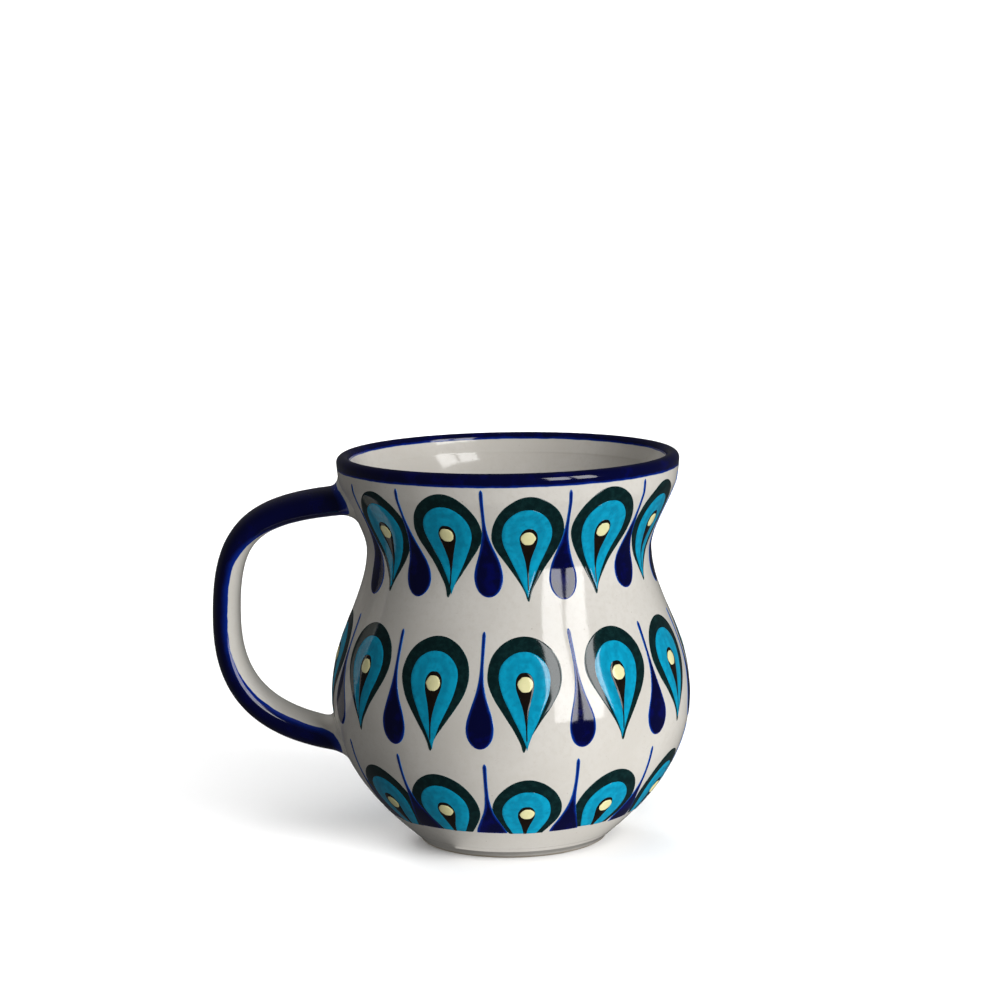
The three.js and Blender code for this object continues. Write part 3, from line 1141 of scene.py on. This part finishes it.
def eyes(pattern):
    """Where each eye is: its row's level, its wiped edge, turn, lean, size and grain."""
    hand, stray = random.Random(pattern.seed), pattern.hand
    found = []
    for row, (level, floor, clear) in enumerate(pattern_rows(pattern)):
        for index in range(pattern.count):
            turn = pattern.turn + 2 * math.pi * index / pattern.count
            found.append({
                "turn": eased_off(turn, clear) + math.radians(hand.uniform(-1.8, 1.8)) * stray,
                "level": level + hand.uniform(-0.9, 0.9) * MM * stray,
                "floor": floor + (hand.uniform(-0.5, 0.5) * MM * stray if floor else 0.0),
                "lean": math.radians(hand.uniform(-2.6, 2.6)) * stray,
                "scale": 1 + hand.uniform(-0.03, 0.03) * stray,
                "grain": hand.uniform(0, 9) + row,
                "hidden": beside_handle(turn, clear),
            })
    return [eye for eye in found if not eye["hidden"]]


def layer(pattern, seed, drop, long, wide, stray):
    """One layer on every eye, each a little off the layer below, by up to stray millimetres."""
    hand = random.Random(pattern.seed * 100 + seed)
    spots = []
    for eye in eyes(pattern):
        level = eye["level"] - drop * eye["scale"] + hand.uniform(-stray, stray) * MM
        shift = hand.uniform(-stray, stray) * MM / WALL_RADIUS
        follow = (drop + long / 2 - pattern.eye_length * LEAN_PIVOT) / WALL_RADIUS
        spots.append(spot(
            level, eye["floor"], long * eye["scale"], wide * eye["scale"],
            eye["turn"] + shift + math.sin(eye["lean"]) * follow,
            eye["lean"] + math.radians(hand.uniform(-1.5, 1.5)), eye["grain"] + seed,
        ))
    return [one for one in spots if one["level"] > one["floor"] + 0.5 * MM]


def paint_strokes(context, name, spots, paint, coats, waver, steps=(56, 24), **shape):
    """One layer of strokes, as thick as that many coats, which stray by that many millimetres.

    Their shape says where they are widest, how full their point and head are, and how wide
    their tail is. Steps are the faces along and round each stroke.
    """
    clay, pattern = context.scene.mug_clay, context.scene.mug_pattern
    wall = line_object("wall_guide", outline_of(context.scene).upward)
    wall.hide_render = True
    piece = shared("stroke_tree", stroke_tree).applied(name, point_object(name + "_spots", spots), {
        "Wall": wall, "Axis X": AXIS_X, "Relief": pattern.relief * coats, "Sink": STROKE_SINK,
        "Waver": waver * MM * pattern.hand, "Steps Along": steps[0], "Steps Round": steps[1],
        "Wobble": clay.wobble, "Wobble Size": clay.wobble_size, "Seed": float(pattern.seed),
        "Material": paint(context.scene.mug_colours),
        **{label.title(): value for label, value in shape.items()},
    })
    bpy.data.objects.remove(wall, do_unlink=True)
    return ridden(piece, "cobalt_glaze" if "drops" in name else "outside_glaze")


class MUG_OT_outlines(bpy.types.Operator):
    """Paint the green-black outline of every eye"""
    bl_idname = "mug.outlines"
    bl_label = "Eye outlines"

    def execute(self, context):
        pattern = context.scene.mug_pattern
        spots = layer(pattern, 1, 0.0, pattern.eye_length, pattern.eye_width, stray=0.0)
        paint_strokes(
            context, "eye_outlines", spots, outline_paint, coats=1.0, waver=1.0,
            widest=0.64, point=0.88, head=0.5, tail=0.05,
        )
        return {"FINISHED"}


class MUG_OT_fields(bpy.types.Operator):
    """Paint the turquoise field of every eye"""
    bl_idname = "mug.fields"
    bl_label = "Eye fields"

    def execute(self, context):
        pattern = context.scene.mug_pattern
        above_point = 0.7 * MM
        long = pattern.eye_length - pattern.field_drop - above_point
        spots = layer(pattern, 2, pattern.field_drop, long, pattern.field_width, stray=0.3)
        paint_strokes(
            context, "eye_fields", spots, turquoise_paint, coats=2.0, waver=0.7,
            widest=0.715, point=0.6, head=0.5, tail=0.02,
        )
        return {"FINISHED"}


class MUG_OT_pupils(bpy.types.Operator):
    """Paint the dark inner drop of every eye"""
    bl_idname = "mug.pupils"
    bl_label = "Eye pupils"

    def execute(self, context):
        pattern = context.scene.mug_pattern
        above_dot, share_of_eye = 1.0 * MM, 0.61
        drop = pattern.dot_drop - pattern.dot * 0.5 - above_dot
        long = pattern.eye_length * share_of_eye
        spots = layer(pattern, 3, drop, long, pattern.pupil_width, stray=0.15)
        paint_strokes(
            context, "eye_pupils", spots, pupil_paint, coats=3.0, waver=0.4, steps=(40, 16),
            widest=0.82, point=0.72, head=0.5, tail=0.1,
        )
        return {"FINISHED"}


class MUG_OT_dots(bpy.types.Operator):
    """Set the cream dot on every eye"""
    bl_idname = "mug.dots"
    bl_label = "Eye dots"

    def execute(self, context):
        pattern = context.scene.mug_pattern
        drop = pattern.dot_drop - pattern.dot * 0.5
        spots = layer(pattern, 4, drop, pattern.dot, pattern.dot * 0.97, stray=0.12)
        paint_strokes(
            context, "eye_dots", spots, dot_paint, coats=4.6, waver=0.7, steps=(28, 24),
            widest=0.5, point=0.45, head=0.45, tail=0.0,
        )
        return {"FINISHED"}


class MUG_OT_drops(bpy.types.Operator):
    """Paint the cobalt drops between the eyes"""
    bl_idname = "mug.drops"
    bl_label = "Cobalt drops"

    def execute(self, context):
        pattern = context.scene.mug_pattern
        hand = random.Random(pattern.seed * 100 + 50)
        spots = []
        raised_wiped, raised_whole = 4.8 * MM, 0.9 * MM
        for level, floor, clear in pattern_rows(pattern):
            raised = raised_wiped if floor else raised_whole
            for index in range(pattern.count):
                turn = pattern.turn + 2 * math.pi * (index + 0.5) / pattern.count
                drawn = spot(
                    level + raised + hand.uniform(-0.9, 0.9) * MM, floor,
                    pattern.drop_length * hand.uniform(0.96, 1.03),
                    pattern.drop_width * hand.uniform(0.94, 1.06),
                    eased_off(turn, clear) + math.radians(hand.uniform(-0.8, 0.8)),
                    math.radians(hand.uniform(-3, 3)),
                    hand.uniform(0, 9), True,
                )
                if not beside_handle(turn, clear):
                    spots.append(drawn)
        paint_strokes(
            context, "cobalt_drops", spots, drop_paint, coats=1.2, waver=0.7,
            widest=0.825, point=0.88, head=0.5, tail=0.13,
        )
        return {"FINISHED"}


# ---- the stage -------------------------------------------------------------------------


def area_light(name, width, height, strength, place, target, mirrored=False):
    """A soft rectangle of light that the camera doesn't see, nor the glaze unless said."""
    data = bpy.data.lights.new(name, "AREA")
    data.shape = "RECTANGLE"
    data.size, data.size_y = width, height
    data.energy = strength * width * height
    light = made(name, data)
    light.location = place
    light.rotation_euler = (Vector(target) - Vector(place)).to_track_quat("-Z", "Y").to_euler()
    light.visible_camera = False
    light.visible_glossy = mirrored


class MUG_OT_stage(bpy.types.Operator):
    """Set the pale floor, the soft window light and the camera"""
    bl_idname = "mug.stage"
    bl_label = "Stage"

    def execute(self, context):
        stage = context.scene.mug_stage
        self.floor(stage)
        self.lights(stage)
        self.room(stage)
        self.camera(context, stage)
        return {"FINISHED"}

    def floor(self, stage):
        """A floor that curves up behind the mug."""
        shape = bmesh.new()
        front, back, rise, radius, half, steps = -2.5, 1.6, 1.8, 0.6, 3.0, 16
        bend = back - radius
        profile = [(front, 0.0), (bend, 0.0)]
        for step in range(1, steps + 1):
            turn = math.pi / 2 * step / steps
            profile.append((bend + radius * math.sin(turn), radius - radius * math.cos(turn)))
        profile.append((back, rise))
        left, right = [[shape.verts.new((x, y, z)) for y, z in profile] for x in (-half, half)]
        for index in range(len(profile) - 1):
            shape.faces.new((left[index], right[index], right[index + 1], left[index + 1]))
        mesh = bpy.data.meshes.new("pale_floor")
        shape.to_mesh(mesh)
        shape.free()
        for face in mesh.polygons:
            face.use_smooth = True
        floor = made("pale_floor", mesh)
        finish = Finish("pale_floor")
        parts = {"Base Color": (*stage.floor, 1.0), "Roughness": 0.9, "Specular IOR Level": 0.1}
        for name, value in parts.items():
            finish.join(value, finish.surface.inputs[name])
        floor.data.materials.append(finish.material)
        floor.visible_glossy = False
        floor.visible_diffuse = False
        self.wash(stage, floor)

    def wash(self, stage, floor):
        """An even light that falls on the floor only."""
        wash = bpy.data.lights.new("floor_wash", "SUN")
        wash.energy = stage.wash
        wash.angle = math.radians(70)
        light = made("floor_wash", wash)
        light.rotation_euler = (math.radians(38), 0, math.radians(-8))
        washed = bpy.data.collections.new("washed")
        washed.objects.link(floor)
        light.light_linking.receiver_collection = washed

    def lights(self, stage):
        """Two window panes, a soft light overhead, a card at floor level and a light behind."""
        middle = Vector((AXIS_X, 0, CAD_BOX[1][2] / 2))
        up = Vector((0, 0, 1))
        towards = Vector((0.630, -0.680, 0.36)).normalized()
        sideways = towards.cross(up).normalized()
        away, aside, down = 2.25, 0.3525, Vector((0, 0, 0.25))
        for side, name in ((-1, "window_left"), (1, "window_right")):
            place = middle + towards * away + sideways * side * aside - down
            area_light(name, 0.57, 1.82, stage.window, place, middle, mirrored=True)
        above, behind = middle + Vector((-0.2, 0.5, 1.5)), middle + Vector((-0.51, 1.41, 0.55))
        card = Vector((AXIS_X + 0.085, -0.055, 0.002))
        area_light("soft_top", 1.6, 1.6, stage.top, above, middle)
        area_light("floor_bounce", 0.20, 0.20, stage.bounce, card, card + up)
        area_light("soft_back", 0.7, 0.7, stage.back, behind, middle)

    def room(self, stage):
        """An even room, as bright as the kind of ray that meets it asks for."""
        world = bpy.data.worlds.new("studio_room")
        bpy.context.scene.world = world
        world.use_nodes = True
        room = Nodes(world.node_tree)
        background = world.node_tree.nodes["Background"]
        background.inputs["Color"].default_value = (1.0, 1.0, 1.0, 1.0)
        seen = room.add("ShaderNodeLightPath", take="Is Camera Ray")
        mirrored, = room.outputs(seen, "Is Glossy Ray")
        strength = seen * (stage.beyond - stage.fill) + mirrored * (stage.gleam - stage.fill) + stage.fill
        room.join(strength, background.inputs["Strength"])

    def camera(self, context, stage):
        data = bpy.data.cameras.new("camera")
        data.lens = stage.lens
        camera = made("camera", data)
        turn = Matrix.Rotation(math.pi / 2 - stage.pitch, 4, "X") @ Matrix.Rotation(stage.roll, 4, "Z")
        aside = -2.1 * MM
        camera.matrix_world = Matrix.Translation((AXIS_X + aside, -stage.distance, stage.height)) @ turn
        context.scene.camera = camera
        context.scene.view_settings.view_transform = "Standard"


# ---- the panel and the order of work ---------------------------------------------------


PIECES = (
    MUG_OT_foot, MUG_OT_wall, MUG_OT_lip, MUG_OT_inside, MUG_OT_handle, MUG_OT_joints,
    MUG_OT_outlines, MUG_OT_fields, MUG_OT_pupils, MUG_OT_dots, MUG_OT_drops, MUG_OT_stage,
)
SETTINGS = {
    "mug_clay": ClayProperties, "mug_handle": HandleProperties, "mug_pattern": PatternProperties,
    "mug_colours": ColourProperties, "mug_stage": StageProperties,
}


class MUG_PT_pieces(bpy.types.Panel):
    """The mug's pieces and the sizes and colours that they use"""
    bl_idname = "MUG_PT_pieces"
    bl_label = "Stoneware mug"
    bl_space_type = "VIEW_3D"
    bl_region_type = "UI"
    bl_category = "Mug"

    def draw(self, context):
        for piece in PIECES:
            self.layout.operator(piece.bl_idname)
        for name in SETTINGS:
            box = self.layout.box()
            settings = getattr(context.scene, name)
            for key in settings.__annotations__:
                box.prop(settings, key)


def register():
    for name, group in SETTINGS.items():
        bpy.utils.register_class(group)
        setattr(bpy.types.Scene, name, PointerProperty(type=group))
    for kind in (*PIECES, MUG_PT_pieces):
        bpy.utils.register_class(kind)


def unregister():
    for kind in reversed((*PIECES, MUG_PT_pieces)):
        bpy.utils.unregister_class(kind)
    for name, group in SETTINGS.items():
        delattr(bpy.types.Scene, name)
        bpy.utils.unregister_class(group)


def main():
    register()
    for piece in PIECES:
        family, verb = piece.bl_idname.split(".")
        getattr(getattr(bpy.ops, family), verb)()


if __name__ == "__main__":
    main()
